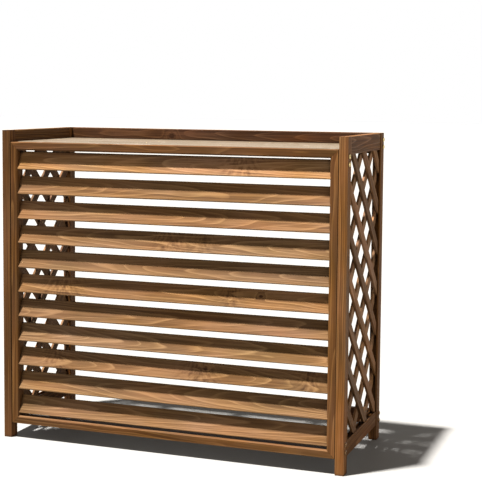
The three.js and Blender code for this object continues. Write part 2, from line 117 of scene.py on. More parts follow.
def board_lie(name, along, through):
    """Where a board lies, worked out from its CAD node: gives a function that adds the board's own coordinates
    to a node tree (x along the grain, y through the thickness, z across the width, from its middle), and half
    its size in that order."""
    low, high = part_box(name)
    along, through = Vector(along), Vector(through)
    turn = Matrix((along, through, along.cross(through))).transposed()
    half = turn.transposed() @ ((high - low) / 2)

    def place(tree):
        inputs = {"Location": (low + high) / 2, "Rotation": turn.to_euler()}
        inputs["Vector"] = node(tree, "ShaderNodeTexCoord").outputs["Object"]
        lie = node(tree, "ShaderNodeMapping", inputs, vector_type="TEXTURE")
        return {"board": lie.outputs["Vector"]}

    return place, tuple(abs(h) for h in half)


def knot(tree, board, along, across, radius):
    """Distance from a branch that runs through the board's thickness, as a share of the knot's radius. It is
    squeezed along the grain, which makes an oval."""
    middle = vector_calc(tree, "SUBTRACT", board, (along, 0.0, across))
    flat = vector_calc(tree, "MULTIPLY", middle, (0.7 / radius, 0.0, 1.0 / radius))
    return vector_calc(tree, "LENGTH", flat)


def curl(tree, board, along, reach, shift):
    """Waved fibres: short dark and pale bars across the grain. At x from the curl's middle, which is at along,
    they lean by x times the distance across the board, so that they fan out, and they fade as
    exp(-(x / reach)^2)."""
    parts = node(tree, "ShaderNodeSeparateXYZ", {"Vector": board})
    away = calc(tree, "DIVIDE", calc(tree, "SUBTRACT", parts.outputs["X"], along), reach)
    lean = calc(tree, "MULTIPLY", calc(tree, "MULTIPLY", away, parts.outputs["Z"]), 0.8)
    leaning = node(tree, "ShaderNodeCombineXYZ", {"X": lean}).outputs["Vector"]
    fanned = vector_calc(tree, "ADD", board, leaning)
    bars = noise(tree, stretched(tree, fanned, 105.0, 55.0, shift), 2.5, 0.65).outputs["Fac"]
    here = calc(tree, "EXPONENT", calc(tree, "MULTIPLY", calc(tree, "MULTIPLY", away, away), -1.0))
    return calc(tree, "MULTIPLY", here, calc(tree, "ADD", swing(tree, bars, 2.1), 0.1))


# Lengths in metres
RING_BEND = 0.018  # how far the rings wander
RUB_AND_HIGHLIGHT_START, RUB_AND_HIGHLIGHT_FULL = -0.0036, -0.0006  # how near an arris the paleness of rubbed stain and painted highlight starts, and where it is full
END_START, END_FULL = -0.0009, -0.0003  # the same for the darker end grain
CORNER_SHADE_REACH = 0.014  # how far the painted shade reaches out of a corner
RELIEF = 0.0006  # how far the late wood stands out


def timber(name, place, half, stain, ring, heart, lean, knots=(), curls=()):
    """Charred, brushed and stained softwood, the same all the way through. Growth rings, ring apart, are shells
    round the heart line, which lies beside the board at heart (through the thickness, across the width) and
    leans by a degree or so, so that the face shows long pointed arches. The soft early wood of a ring is burnt
    dark, and the hard late wood stands out of it as a narrow pale ridge. Slow noise bends the rings, fine noise
    drawn out along the grain gives fibres and streaks, knots push the rings aside, and curls lay short bars
    across the grain. Arrises are paler, partly as rubbed stain and partly as a painted highlight, except where
    they lie in a corner; end grain drinks more stain; and corners and seams, found by ambient occlusion, are
    darkened as painted shade."""
    luck = random.Random(name)
    material = bpy.data.materials.new(name)
    material.use_nodes = True
    tree = material.node_tree
    tree.nodes.clear()
    shift = tuple(luck.uniform(0, 40) for _ in range(3))
    lie = place(tree)
    board = lie["board"]

    log_inputs = {
        "Vector": board,
        "Location": (0.0, *heart),
        "Rotation": (0.0, math.radians(lean[0]), math.radians(lean[1])),
    }
    log = node(tree, "ShaderNodeMapping", log_inputs, vector_type="TEXTURE").outputs["Vector"]
    sway = noise(tree, stretched(tree, log, 2.2, 14.0, shift), 2.0, 0.55).outputs["Color"]
    sway = vector_calc(tree, "SUBTRACT", sway, (0.5, 0.5, 0.5))
    bend = vector_calc(tree, "MULTIPLY", sway, (0.0, RING_BEND, RING_BEND))
    bent = vector_calc(tree, "MULTIPLY", vector_calc(tree, "ADD", log, bend), (0.0, 1.0, 1.0))
    radius = vector_calc(tree, "LENGTH", bent)
    knot_spots = []
    for along, across, size in knots:
        distance = knot(tree, board, along * half[0], across * half[2], size)
        squared = calc(tree, "MULTIPLY", distance, distance)
        bulge = calc(tree, "EXPONENT", calc(tree, "MULTIPLY", squared, -0.22))
        radius = calc(tree, "ADD", radius, calc(tree, "MULTIPLY", bulge, 2.2 * size))
        knot_spots.append(distance)
    years = calc(tree, "DIVIDE", radius, ring)
    spacing_inputs = {"W": calc(tree, "MULTIPLY", years, 0.31), "Scale": 1.0}
    spacing = node(tree, "ShaderNodeTexNoise", spacing_inputs, noise_dimensions="1D")
    years = calc(tree, "ADD", years, swing(tree, spacing.outputs["Fac"], 1.6))
    through_year = ((0.0, 0.0), (0.62, 0.07), (0.8, 0.45), (0.92, 1.0), (1.0, 0.06))
    late = ramp(tree, calc(tree, "FRACT", years), [(share, (white,) * 3) for share, white in through_year])
    year_tone = node(tree, "ShaderNodeTexWhiteNoise", {"W": calc(tree, "FLOOR", years)}, noise_dimensions="1D")

    fibre = noise(tree, stretched(tree, board, 5.0, 620.0, shift), 3.0, 0.7).outputs["Fac"]
    streak = noise(tree, stretched(tree, board, 1.8, 120.0, shift), 3.0, 0.62).outputs["Fac"]
    patches = noise(tree, stretched(tree, board, 3.5, 13.0, shift), 4.0, 0.62)
    blotch = patches.outputs["Fac"]

    depth = calc(tree, "SUBTRACT", stain["depth"], calc(tree, "MULTIPLY", late, 1.35 * stain["figure"]))
    depth = calc(tree, "ADD", depth, swing(tree, streak, 1.3))
    depth = calc(tree, "ADD", depth, swing(tree, blotch, 1.1))
    depth = calc(tree, "ADD", depth, swing(tree, year_tone.outputs["Value"], 0.24))
    for along, reach in curls:
        depth = calc(tree, "ADD", depth, curl(tree, board, along * half[0], reach, shift))
    depth = calc(tree, "ADD", depth, swing(tree, fibre, 1.0), clamp=True)
    colour = ramp(tree, depth, [(0.0, stain["pale"]), (0.5, stain["middle"]), (1.0, stain["dark"])])
    drift = node(tree, "ShaderNodeSeparateColor", {"Color": patches.outputs["Color"]})
    tint = {"Color": colour, "Hue": calc(tree, "ADD", swing(tree, drift.outputs["Red"], 0.04), 0.5)}
    tint["Saturation"] = calc(tree, "ADD", swing(tree, drift.outputs["Blue"], 0.4), 1.0)
    colour = node(tree, "ShaderNodeHueSaturation", tint).outputs["Color"]
    if "shade" in lie:
        colour = mix(tree, 1.0, colour, lie["shade"], "MULTIPLY")
    for distance in knot_spots:
        rings = calc(tree, "FRACT", calc(tree, "MULTIPLY", distance, 3.6))
        heartwood = ramp(tree, rings, [(0.0, stain["dark"]), (0.8, stain["knot"]), (1.0, stain["dark"])])
        edge = calc(tree, "ADD", distance, swing(tree, streak, 0.5))
        colour = mix(tree, step_between(tree, edge, 1.1, 0.85), colour, heartwood)

    inside = vector_calc(tree, "SUBTRACT", vector_calc(tree, "ABSOLUTE", board), half)
    parts = node(tree, "ShaderNodeSeparateXYZ", {"Vector": inside})
    to_arris = calc(tree, "ADD", parts.outputs["Y"], parts.outputs["Z"])
    worn_and_highlit = calc(tree, "ADD", to_arris, swing(tree, blotch, 0.004))
    # Ambient occlusion finds the corners and seams where shade falls. It drives the painted shade below, and it
    # keeps the paler arrises out of those corners.
    corner = node(tree, "ShaderNodeAmbientOcclusion", {"Distance": CORNER_SHADE_REACH}, samples=6).outputs["AO"]
    # Paler arrises: partly stain rubbed off, partly a painted highlight along the edges. They are kept out of
    # corners, so the painted shade there stays dark.
    rubbed_and_highlit = step_between(tree, worn_and_highlit, RUB_AND_HIGHLIGHT_START, RUB_AND_HIGHLIGHT_FULL)
    open_arris = calc(tree, "MULTIPLY", rubbed_and_highlit, step_between(tree, corner, 0.8, 0.97))
    colour = mix(tree, calc(tree, "MULTIPLY", open_arris, stain["rub_and_highlight"]), colour, (*stain["worn_and_highlit"], 1.0))
    end_grain = step_between(tree, parts.outputs["X"], END_START, END_FULL)
    colour = mix(tree, calc(tree, "MULTIPLY", end_grain, 0.55), colour, (*stain["dark"], 1.0))
    # Painted shade: the colour is darkened towards a deep brown in corners and seams
    corner_shade = step_between(tree, corner, 0.8, 0.35, 0.0, 0.92)
    colour = mix(tree, corner_shade, colour, (*(0.4 * tone for tone in stain["dark"]), 1.0))

    gloss = calc(tree, "ADD", calc(tree, "MULTIPLY", late, 0.1), swing(tree, fibre, 0.3))
    gloss = calc(tree, "ADD", gloss, swing(tree, blotch, 0.25))
    rough = calc(tree, "SUBTRACT", stain["rough"], gloss, clamp=True)
    relief = calc(tree, "ADD", calc(tree, "MULTIPLY", late, 0.6), calc(tree, "MULTIPLY", fibre, 0.7))
    bump = node(tree, "ShaderNodeBump", {"Height": relief, "Strength": 0.75, "Distance": RELIEF})
    inputs = {"Base Color": colour, "Roughness": rough, "Specular IOR Level": stain["gloss"]}
    surface = node(tree, "ShaderNodeBsdfPrincipled", {**inputs, "Normal": bump.outputs["Normal"]})
    output = node(tree, "ShaderNodeOutputMaterial")
    tree.links.new(surface.outputs["BSDF"], output.inputs["Surface"])
    return material


def dress(name, material):
    """Gives a CAD node its finish."""
    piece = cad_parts[name]
    for place in piece.material_slots:
        place.material = material


def varied(stain, name, tone=1.0, spread=0.12):
    """The same stain on another board: each takes it a little darker or paler, warmer or cooler."""
    luck = random.Random(name + " stain")
    lift = tone * luck.uniform(1 - spread, 1 + spread)
    warmth = luck.uniform(-0.04, 0.04)
    tint = (lift * (1 + warmth), lift, lift * (1 - 1.5 * warmth))
    made = dict(stain)
    for part in ("pale", "middle", "dark", "worn_and_highlit"):
        made[part] = tuple(c * t for c, t in zip(stain[part], tint))
    return made


# Colours from thin stain to thick. Figure is how strongly the rings show, depth is how much stain there is, and
# the arris share is how far the arrises move to the paler arris colour, which stands for rubbed stain and a
# painted highlight.
FRAME_STAIN = {
    "pale": (0.142, 0.066, 0.0215),
    "middle": (0.073, 0.0285, 0.0078),
    "dark": (0.028, 0.0104, 0.0030),
    "knot": (0.03, 0.011, 0.004),
    "worn_and_highlit": (0.15, 0.075, 0.030),
    "figure": 0.4,
    "depth": 0.5,
    "rub_and_highlight": 0.3,
    "rough": 0.66,
    "gloss": 0.06,
}
# Heart line, its lean in degrees, and how pale the board is; knots are (share along, share across, radius)
POSTS = {
    # The left front post's low tone, against the right front post's high one, is painted shade
    "left_front_post": ((0.055, -0.012), (0.35, 0.5), 0.62),
    "right_front_post": ((-0.05, 0.02), (-0.4, 0.6), 1.27),
    "left_back_post": ((0.045, 0.03), (0.5, -0.4), 0.9),
    "right_back_post": ((-0.06, -0.018), (0.3, 0.45), 0.95),
}
POST_KNOTS = {"right_front_post": [(0.28, 0.15, 0.004)], "left_back_post": [(-0.42, -0.2, 0.004)]}
for post, (heart, lean, tone) in POSTS.items():
    place, half = board_lie(post, (0, 0, 1), (1, 0, 0))
    stain = varied(FRAME_STAIN, post, tone)
    knots = POST_KNOTS.get(post, ())
    material = timber(f"{post}_pine", place, half, stain, ring=0.0038, heart=heart, lean=lean, knots=knots)
    dress(post, material)


# Side rails. The same pine, flush with the posts at the top and held in them by tenons. The upper tenon fills
# an open-topped mortise, so the joint shows as a stepped line on the post's top.

RAIL_STAIN = {**FRAME_STAIN, "pale": (0.128, 0.059, 0.0200), "middle": (0.064, 0.0262, 0.0080)}
SIDE_RAILS = {
    "left_top_rail": ((0.04, 0.012), (0.7, 1.2), 0.72),
    "right_top_rail": ((0.045, -0.01), (-0.8, 1.4), 1.0),
    "left_bottom_rail": ((-0.05, 0.02), (0.6, 1.0), 0.9),
    "right_bottom_rail": ((0.05, 0.015), (0.5, -1.1), 1.1),
}
for rail, (heart, lean, tone) in SIDE_RAILS.items():
    place, half = board_lie(rail, (0, 1, 0), (1, 0, 0))
    stain = varied(RAIL_STAIN, rail, tone)
    material = timber(f"{rail}_pine", place, half, stain, ring=0.0036, heart=heart, lean=lean)
    dress(rail, material)


# Lattice. Two layers of thin pine slats at 45 degrees, one pinned over the other, dip-stained in one piece and
# slid into the grooves of the side frame. The outer layer falls towards the back, the inner one towards the
# front.

SLAT_PITCH = 0.084
FIRST_SLAT = 0.072  # from the corner of the opening to the first slat's middle line
SLAT_WIDTH = 0.026
SLAT_TONES = (0.7, 1.35)
NEXT_SLAT = 0.47  # how far along the grain each slat's wood is moved from its neighbour's
LAYER_KEY = 40.0  # keeps the two layers' slat numbers apart
NO_END = 10.0  # the slats end inside the frame, so that no end grain shows
LATTICE_STAIN = {
    **FRAME_STAIN,
    "pale": (0.17, 0.088, 0.040),
    "middle": (0.097, 0.046, 0.019),
    "dark": (0.04, 0.0165, 0.007),
    "worn_and_highlit": (0.17, 0.095, 0.048),
    "figure": 0.32,
    "depth": 0.46,
    "rough": 0.7,
}


def lattice_sizes(side):
    """The lattice's middle, and the size of the opening that it fills, from the frame round it."""
    top_low, top_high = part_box(f"{side}_top_rail")
    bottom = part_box(f"{side}_bottom_rail")[1].z
    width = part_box(f"{side}_back_post")[0].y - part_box(f"{side}_front_post")[1].y
    middle = Vector(((top_low.x + top_high.x) / 2, 0.0, (top_low.z + bottom) / 2))
    return middle, width, top_low.z - bottom


def lattice_lie(side, outward):
    """Each layer has its own coordinates: along = (y - fall z) / root 2, and over = (fall y + z) / root 2 from
    the first slat's middle line. The slat's number is over / pitch, rounded, and each slat's wood and stain are
    moved by its number, so that no two look alike."""
    middle, width, height = lattice_sizes(side)
    corner = (width + height) / math.sqrt(2) / 2 - FIRST_SLAT
    thickness = (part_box(f"{side}_lattice")[1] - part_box(f"{side}_lattice")[0]).x / 2

    def place(tree):
        spot = node(tree, "ShaderNodeTexCoord").outputs["Object"]
        spot = vector_calc(tree, "SUBTRACT", spot, middle)
        parts = node(tree, "ShaderNodeSeparateXYZ", {"Vector": spot})
        layers = []
        for fall in (-1, 1):
            tilted = calc(tree, "MULTIPLY", parts.outputs["Y"], fall)
            over = calc(tree, "MULTIPLY", calc(tree, "ADD", tilted, parts.outputs["Z"]), math.sqrt(0.5))
            over = calc(tree, "ADD", over, corner)
            dropped = calc(tree, "MULTIPLY", parts.outputs["Z"], -fall)
            along = calc(tree, "MULTIPLY", calc(tree, "ADD", parts.outputs["Y"], dropped), math.sqrt(0.5))
            number = calc(tree, "ROUND", calc(tree, "DIVIDE", over, SLAT_PITCH))
            across = calc(tree, "SUBTRACT", over, calc(tree, "MULTIPLY", number, SLAT_PITCH))
            moved = calc(tree, "ADD", along, calc(tree, "MULTIPLY", number, NEXT_SLAT))
            key = calc(tree, "ADD", number, LAYER_KEY * fall)
            inputs = {"X": moved, "Y": 0.5 * thickness * fall, "Z": across}
            layers.append((node(tree, "ShaderNodeCombineXYZ", inputs).outputs["Vector"], key))
        (inner_board, inner_key), (outer_board, outer_key) = layers
        outer = calc(tree, "GREATER_THAN", calc(tree, "MULTIPLY", parts.outputs["X"], outward), 0.0)
        boards = {0: outer, 4: inner_board, 5: outer_board}
        board = node(tree, "ShaderNodeMix", boards, data_type="VECTOR").outputs[1]
        keys = {0: outer, 2: inner_key, 3: outer_key}
        key = node(tree, "ShaderNodeMix", keys, data_type="FLOAT").outputs[0]
        luck = node(tree, "ShaderNodeTexWhiteNoise", {"W": key}, noise_dimensions="1D").outputs["Value"]
        lift = step_between(tree, luck, 0.0, 1.0, *SLAT_TONES)
        shade = node(tree, "ShaderNodeCombineXYZ", {"X": lift, "Y": lift, "Z": lift}).outputs["Vector"]
        return {"board": board, "shade": shade}

    return place, (NO_END, thickness, SLAT_WIDTH / 2)


# The left lattice is darkened to 0.66 of the right's colour as painted shade
for side, outward, tone in (("left", -1, 0.66), ("right", 1, 1.0)):
    place, half = lattice_lie(side, outward)
    stain = varied(LATTICE_STAIN, side, tone, 0.0)
    heart, lean = (0.03, 0.004), (0.5, 0.7)
    material = timber(f"{side}_lattice_pine", place, half, stain, ring=0.0028, heart=heart, lean=lean)
    dress(f"{side}_lattice", material)


# Louvre panel. Two rails and two stiles of one moulding, mitred and glued, with a chamfer round the inside. It
# stands between the front posts, almost flush with their faces.

PANEL_STAIN = {**FRAME_STAIN, "pale": (0.107, 0.050, 0.0150), "middle": (0.057, 0.0232, 0.0060)}
PANEL_MEMBERS = {
    # The top rail's lower tone is painted shade
    "panel_top_rail": ((1, 0, 0), (0.06, 0.01), (0.25, 0.6), 0.8),
    "panel_bottom_rail": ((1, 0, 0), (0.05, -0.015), (-0.3, 0.5), 0.86),
    "panel_left_stile": ((0, 0, 1), (-0.05, 0.012), (0.3, 0.4), 0.9),
    "panel_right_stile": ((0, 0, 1), (-0.045, -0.01), (0.25, -0.5), 1.08),
}
for member, (along, heart, lean, tone) in PANEL_MEMBERS.items():
    place, half = board_lie(member, along, (0, 1, 0))
    stain = varied(PANEL_STAIN, member, tone)
    material = timber(f"{member}_pine", place, half, stain, ring=0.0034, heart=heart, lean=lean)
    dress(member, material)


# Louvre slats. Eleven flat-sawn boards, 55 by 7 mm with rounded arrises, let into the stiles at 22 degrees with
# their lower edges forward. They took the stain paler than the frame.

SLAT_TILT = math.radians(22)
LOUVRE_SIZE = (0.007, 0.055)  # thickness, width
LOUVRE_STAIN = {
    **FRAME_STAIN,
    "pale": (0.120, 0.066, 0.0295),
    "middle": (0.069, 0.0345, 0.0140),
    "dark": (0.027, 0.0116, 0.0045),
    "worn_and_highlit": (0.132, 0.077, 0.036),
    "figure": 0.36,
    "depth": 0.42,
    "rub_and_highlight": 0.6,
}
FIRST_TONE = 1.4  # the uppermost slat took the least stain
# Knots as on the posts; curls are (share along, reach)
LOUVRE_KNOTS = {6: [(0.58, 0.25, 0.004)], 9: [(0.24, 0.3, 0.004)]}
LOUVRE_CURLS = {
    1: [(0.45, 0.05)],
    4: [(0.02, 0.05), (0.22, 0.035)],
    6: [(-0.7, 0.06), (0.4, 0.03)],
    9: [(-0.74, 0.04), (0.2, 0.06), (0.88, 0.035)],
}
for number in range(1, 12):
    slat = f"louvre_slat_{number:02d}"
    luck = random.Random(slat)
    place, half = board_lie(slat, (1, 0, 0), (0, math.cos(SLAT_TILT), -math.sin(SLAT_TILT)))
    half = (half[0], LOUVRE_SIZE[0] / 2, LOUVRE_SIZE[1] / 2)  # a tilted board's box doesn't tell these two
    heart = (luck.uniform(0.03, 0.055), luck.uniform(-0.014, 0.014))
    lean = (luck.uniform(-0.8, 0.8), luck.choice((-1, 1)) * luck.uniform(0.9, 2.2))
    stain = varied(LOUVRE_STAIN, slat, FIRST_TONE if number == 1 else 1.0)
    marks = {"knots": LOUVRE_KNOTS.get(number, ()), "curls": LOUVRE_CURLS.get(number, ())}
    material = timber(f"{slat}_pine", place, half, stain, ring=0.0034, heart=heart, lean=lean, **marks)
    dress(slat, material)


# Back rails. Two boards butted between the back posts and screwed through them. The upper one is the back of
# the shelf's rim. Their stain is much darker than the side rails', as painted shade.

# Darker colours than the side rails' stain, as painted shade
BACK_STAIN_PAINTED_SHADE = {
    **RAIL_STAIN,
    "pale": (0.060, 0.0265, 0.0100),
    "middle": (0.030, 0.0122, 0.0045),
    "dark": (0.014, 0.0053, 0.0020),
    "worn_and_highlit": (0.085, 0.042, 0.0170),
}
for rail, heart, lean, knots in (
    ("back_top_rail", (-0.04, 0.012), (0.4, 1.5), [(-0.3, 0.3, 0.007)]),
    ("back_bottom_rail", (-0.045, -0.01), (0.5, -1.2), [(0.5, -0.1, 0.006)]),
):
    place, half = board_lie(rail, (1, 0, 0), (0, 1, 0))
    stain = varied(BACK_STAIN_PAINTED_SHADE, rail)
    material = timber(f"{rail}_pine", place, half, stain, ring=0.0036, heart=heart, lean=lean, knots=knots)
    dress(rail, material)


# Shelf. Four wide planks with open gaps, pinned to four battens below and resting on two ledgers. The planks
# are paler, and the strips under them got a quick coat only.

PLANK_STAIN = {
    **FRAME_STAIN,
    "pale": (0.091, 0.066, 0.0415),
    "middle": (0.061, 0.0425, 0.0260),
    "dark": (0.028, 0.0168, 0.0090),
    "worn_and_highlit": (0.097, 0.073, 0.0480),
    "figure": 0.32,
    "depth": 0.4,
    "rough": 0.5,
    "gloss": 0.26,
}
STRIP_STAIN = {**FRAME_STAIN, "pale": (0.12, 0.06, 0.025), "middle": (0.066, 0.029, 0.011), "rough": 0.74}
PLANK_HEARTS = [
    ((-0.035, 0.01), (0.5, 1.3), [(0.45, 0.4, 0.007)]),
    ((0.04, -0.012), (-0.4, 1.6), [(-0.55, -0.3, 0.009)]),
    ((-0.045, 0.02), (0.6, -1.1), [(0.1, 0.5, 0.006), (0.8, -0.4, 0.007)]),
    ((0.038, 0.005), (0.3, 1.4), []),
]
for number, (heart, lean, knots) in enumerate(PLANK_HEARTS, 1):
    plank = f"shelf_plank_{number}"
    place, half = board_lie(plank, (1, 0, 0), (0, 0, 1))
    stain = varied(PLANK_STAIN, plank)
    material = timber(f"{plank}_pine", place, half, stain, ring=0.0038, heart=heart, lean=lean, knots=knots)
    dress(plank, material)
STRIPS = {f"shelf_batten_{number}": ((0, 1, 0), (0.03, 0.008), (0.7, 1.1)) for number in range(1, 5)}
STRIPS |= {ledger: ((1, 0, 0), (0.04, 0.01), (0.6, 0.9)) for ledger in ("front_ledger", "back_ledger")}
for strip, (along, heart, lean) in STRIPS.items():
    place, half = board_lie(strip, along, (0, 0, 1))
    stain = varied(STRIP_STAIN, strip)
    material = timber(f"{strip}_pine", place, half, stain, ring=0.0022, heart=heart, lean=lean)
    dress(strip, material)


# Screws. Zinc-plated and yellow passivated, with pan heads and a cross recess. Pairs go through the posts into
# the panel's stiles and the back rails, and smaller ones through the ledgers. Stain browned the lower pairs.

ZINC, ZINC_DULL = (0.66, 0.53, 0.26), (0.30, 0.22, 0.10)
BROWNED, BROWNED_DULL = (0.20, 0.12, 0.06), (0.09, 0.045, 0.02)
# How far the painted shade in a screw's recess reaches
RECESS_SHADE_REACH = 0.0025
POST_SCREW = {"shank": 0.0025, "rise": 0.0034, "point": 0.006}
LEDGER_SCREW = {"shank": 0.0017, "rise": 0.0018, "point": 0.004}
ARM, SLOT = 0.56, 0.12  # the cross, as shares of the head's radius


def plated(name, bright=ZINC, dull=ZINC_DULL):
    """Yellow zinc: bright metal, dulled in soft patches and speckled, with painted shade, near black, in the
    recess and under the head."""
    material = bpy.data.materials.new(name)
    material.use_nodes = True
    tree = material.node_tree
    tree.nodes.clear()
    spot = node(tree, "ShaderNodeTexCoord").outputs["Object"]
    patches = noise(tree, spot, 3.0, 0.6, 260.0).outputs["Fac"]
    specks = noise(tree, spot, 2.0, 0.5, 2400.0).outputs["Fac"]
    tarnish = step_between(tree, calc(tree, "ADD", patches, swing(tree, specks, 0.4)), 0.42, 0.72)
    colour = mix(tree, tarnish, (*bright, 1.0), (*dull, 1.0))
    # Painted shade: near black where ambient occlusion finds the cross recess and the underside of the head
    recess_shade = node(tree, "ShaderNodeAmbientOcclusion", {"Distance": RECESS_SHADE_REACH}, samples=8).outputs["AO"]
    colour = mix(tree, step_between(tree, recess_shade, 0.75, 0.4, 0.0, 0.93), colour, (0.02, 0.018, 0.01, 1.0))
    rough = step_between(tree, tarnish, 0.0, 1.0, 0.24, 0.5)
    bump = node(tree, "ShaderNodeBump", {"Height": specks, "Strength": 0.2, "Distance": 0.0001})
    inputs = {"Base Color": colour, "Roughness": rough, "Metallic": 1.0, "Normal": bump.outputs["Normal"]}
    surface = node(tree, "ShaderNodeBsdfPrincipled", inputs)
    output = node(tree, "ShaderNodeOutputMaterial")
    tree.links.new(surface.outputs["BSDF"], output.inputs["Surface"])
    return material


def screw_surface(shank, head, rise, point, length, arm, slot):
    """A screw on Z with the underside of its head at zero. A profile of (radius, height) runs from the tip up
    the shank, out under the head, round its rim, and over a dome to the middle: at each angle above level the
    radius is head cos(angle) and the height is rim + (rise - rim) sin(angle). It is carried round the axis on a
    grid. The cross is pressed into the dome: its depth is full inside either arm, eases out over the arm's
    edge, and gets less towards the arm's end."""
    rim = 0.22 * rise
    angle = np.linspace(0.0, np.pi / 2, 26)
    tip, blunt = [0.0, -length], [0.25 * shank, -length + 0.3 * point]
    under = np.array([tip, blunt, [shank, point - length], [shank, 0.0]])
    edge = np.array([[head - 0.08 * rise, 0.0], [head, 0.08 * rise], [head, rim]])
    dome = np.stack([head * np.cos(angle[1:]), rim + (rise - rim) * np.sin(angle[1:])], axis=1)
    profile = np.concatenate([under, edge, dome])
    profile[-1, 0] = 0.0
    turns = np.linspace(0.0, 2 * np.pi, 72, endpoint=False)
    radius, height = profile[:, 0, None], profile[:, 1, None]
    x, y = radius * np.cos(turns), radius * np.sin(turns)
    z = np.broadcast_to(height, x.shape).copy()

    def inside(distance, half, ease):
        return np.clip((half - np.abs(distance)) / ease + 0.5, 0.0, 1.0)

    ease = 0.1 * head
    level_arm = inside(x, arm, ease) * inside(y, slot, ease)
    upright_arm = inside(y, arm, ease) * inside(x, slot, ease)
    cross = np.maximum(level_arm, upright_arm)
    taper = 1 - 0.45 * np.clip(np.hypot(x, y) / arm, 0.0, 1.0)
    z -= np.where(height > rim, cross * taper * 0.72 * rise, 0.0)
    return np.stack([x, y, z], axis=-1)


def closed_mesh(name, grid):
    """A mesh from a grid whose rows are rings. The first and the last ring have shrunk to a point, so each is
    one vertex with a fan of triangles."""
    rings, turns = grid.shape[:2]
    body = grid[1:-1].reshape(-1, 3)
    points = np.concatenate([body, grid[0, :1], grid[-1, :1]])
    start, end = len(body), len(body) + 1
    row = np.arange(rings - 3)[:, None] * turns
    here = np.arange(turns)
    after = np.roll(here, -1)
    quads = np.stack([row + here, row + after, row + turns + after, row + turns + here], axis=-1).reshape(-1, 4)
    last = (rings - 3) * turns
    low_fan = np.stack([after, here, np.full(turns, start)], axis=-1)
    high_fan = np.stack([last + here, last + after, np.full(turns, end)], axis=-1)
    mesh = bpy.data.meshes.new(name)
    mesh.from_pydata(points.tolist(), [], [*quads.tolist(), *low_fan.tolist(), *high_fan.tolist()])
    mesh.shade_smooth()
    mesh.set_sharp_from_angle(angle=math.radians(42))
    return mesh


def add_piece(name, mesh, material, slot, *replaced):
    """Puts a new piece on the part, in place of the CAD nodes that it replaces."""
    piece = bpy.data.objects.new(name, mesh)
    bpy.context.scene.collection.objects.link(piece)
    mesh.materials.append(material)
    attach(piece, "root")
    if replaced:
        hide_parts(*replaced)


screw_metal = plated("screw_zinc")
browned_metal = plated("screw_zinc_browned", BROWNED, BROWNED_DULL)
for screw in [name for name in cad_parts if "screw" in name]:
    low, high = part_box(screw)
    size = high - low
    reach = max(size)
    axis = list(size).index(reach)
    kind = LEDGER_SCREW if "ledger" in screw else POST_SCREW
    head, rise = min(size) / 2, kind["rise"]
    if axis == 0:  # through a post, its head on the side that faces away from the screen's middle
        outward = 1.0 if high.x > 0.5 else -1.0
        facing = Vector((outward, 0, 0))
    else:  # through a ledger, its head towards the shelf's middle
        outward = 1.0 if screw.startswith("front") else -1.0
        facing = Vector((0, outward, 0))
    seat = (low + high) / 2
    seat[axis] = (high[axis] if outward > 0 else low[axis]) - rise * outward
    twist = random.Random(screw).uniform(0.0, math.pi / 2)
    turn = Vector((0, 0, 1)).rotation_difference(facing).to_matrix() @ Matrix.Rotation(twist, 3, "Z")
    grid = screw_surface(kind["shank"], head, rise, kind["point"], reach - rise, ARM * head, SLOT * head)
    placed = grid @ np.array(turn).T + np.array(seat)
    metal = browned_metal if "_bottom_" in screw else screw_metal
    add_piece(f"{screw}_zinc", closed_mesh(f"{screw}_zinc", placed), metal, "screw_metal", screw)


# Pins. Short steel brads, driven almost flush: from inside through each crossing of the lattices, and from
# above through the planks into the battens.

PIN_RADIUS = 0.0011
PIN_RISE = 0.00025
PIN_NECK = 0.002
PIN_MARGIN = 0.004  # no crossing this near the frame is pinned
PIN_SHARES = (0.3, 0.7)  # of a plank's width


def pin_heads(name, spots, facing, material, slot):
    """One mesh of many pin heads. Each is a shallow dome, radius r cos(angle) and height rise sin(angle),
    carried round its axis, with a short neck below the surface."""
    angle = np.linspace(0.0, np.pi / 2, 4)
    profile = np.stack([PIN_RADIUS * np.cos(angle), PIN_RISE * np.sin(angle)], axis=1)
    profile = np.concatenate([[[0.0, -PIN_NECK], [PIN_RADIUS, -PIN_NECK]], profile])
    profile[-1, 0] = 0.0
    turns = np.linspace(0.0, 2 * np.pi, 10, endpoint=False)
    radius, height = profile[:, 0, None], profile[:, 1, None]
    x, y = radius * np.cos(turns), radius * np.sin(turns)
    grid = np.stack([x, y, np.broadcast_to(height, x.shape)], axis=-1)
    turn = np.array(Vector((0, 0, 1)).rotation_difference(Vector(facing)).to_matrix())
    one = closed_mesh(f"{name}_one", grid @ turn.T)
    count = len(one.vertices)
    places = np.empty(count * 3)
    one.vertices.foreach_get("co", places)
    faces = [tuple(face.vertices) for face in one.polygons]
    spots = np.array(spots)
    points = (places.reshape(1, -1, 3) + spots[:, None, :]).reshape(-1, 3)
    every = [tuple(v + count * n for v in face) for n in range(len(spots)) for face in faces]
    mesh = bpy.data.meshes.new(name)
    mesh.from_pydata(points.tolist(), [], every)
    mesh.shade_smooth()
    bpy.data.meshes.remove(one)
    add_piece(name, mesh, material, slot)


def crossings(side, outward):
    """Where the middle lines of the two layers cross inside the opening, on the lattice's inner face."""
    middle, width, height = lattice_sizes(side)
    low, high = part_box(f"{side}_lattice")
    inner = low.x if outward > 0 else high.x
    corner = (width + height) / math.sqrt(2) / 2 - FIRST_SLAT
    count = int((2 * corner + FIRST_SLAT - SLAT_WIDTH) / SLAT_PITCH) + 1
    over = np.arange(count) * SLAT_PITCH - corner
    falling, rising = np.meshgrid(over, over)
    y = (falling - rising) / math.sqrt(2)
    z = (falling + rising) / math.sqrt(2)
    kept = (np.abs(y) < width / 2 - PIN_MARGIN) & (np.abs(z) < height / 2 - PIN_MARGIN)
    y, z = y[kept], z[kept]
    return np.stack([np.full(len(y), inner), y, z + middle.z], axis=1)


